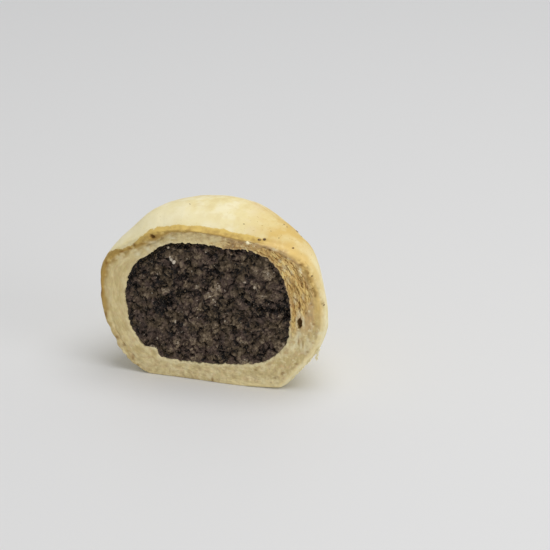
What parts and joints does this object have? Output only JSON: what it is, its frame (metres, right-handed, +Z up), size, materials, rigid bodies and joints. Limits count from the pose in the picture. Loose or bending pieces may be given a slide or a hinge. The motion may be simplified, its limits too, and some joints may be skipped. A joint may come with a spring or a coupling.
{
  "type": "half of a black sesame mooncake",
  "caption": "Round flaky pastry cake cut in half upright, showing a pale layered crust round a coarse black sesame filling.",
  "frame": {"origin": "on the floor under the middle of the cake's bounding box", "axes": "+Z up; the cut face looks along -Y; +X to the right along the cut when seen from the front"},
  "size_m": [0.0626, 0.0294, 0.048],
  "materials": {
    "pastry": "pale cream baked flaky pastry, matte, drier and darker on the cut",
    "sesame_paste": "coarse crumbly brown-black sesame paste, matte"
  },
  "bodies": {
    "root": {"crust": "pastry", "filling": "sesame_paste"}
  },
  "joints": []
}
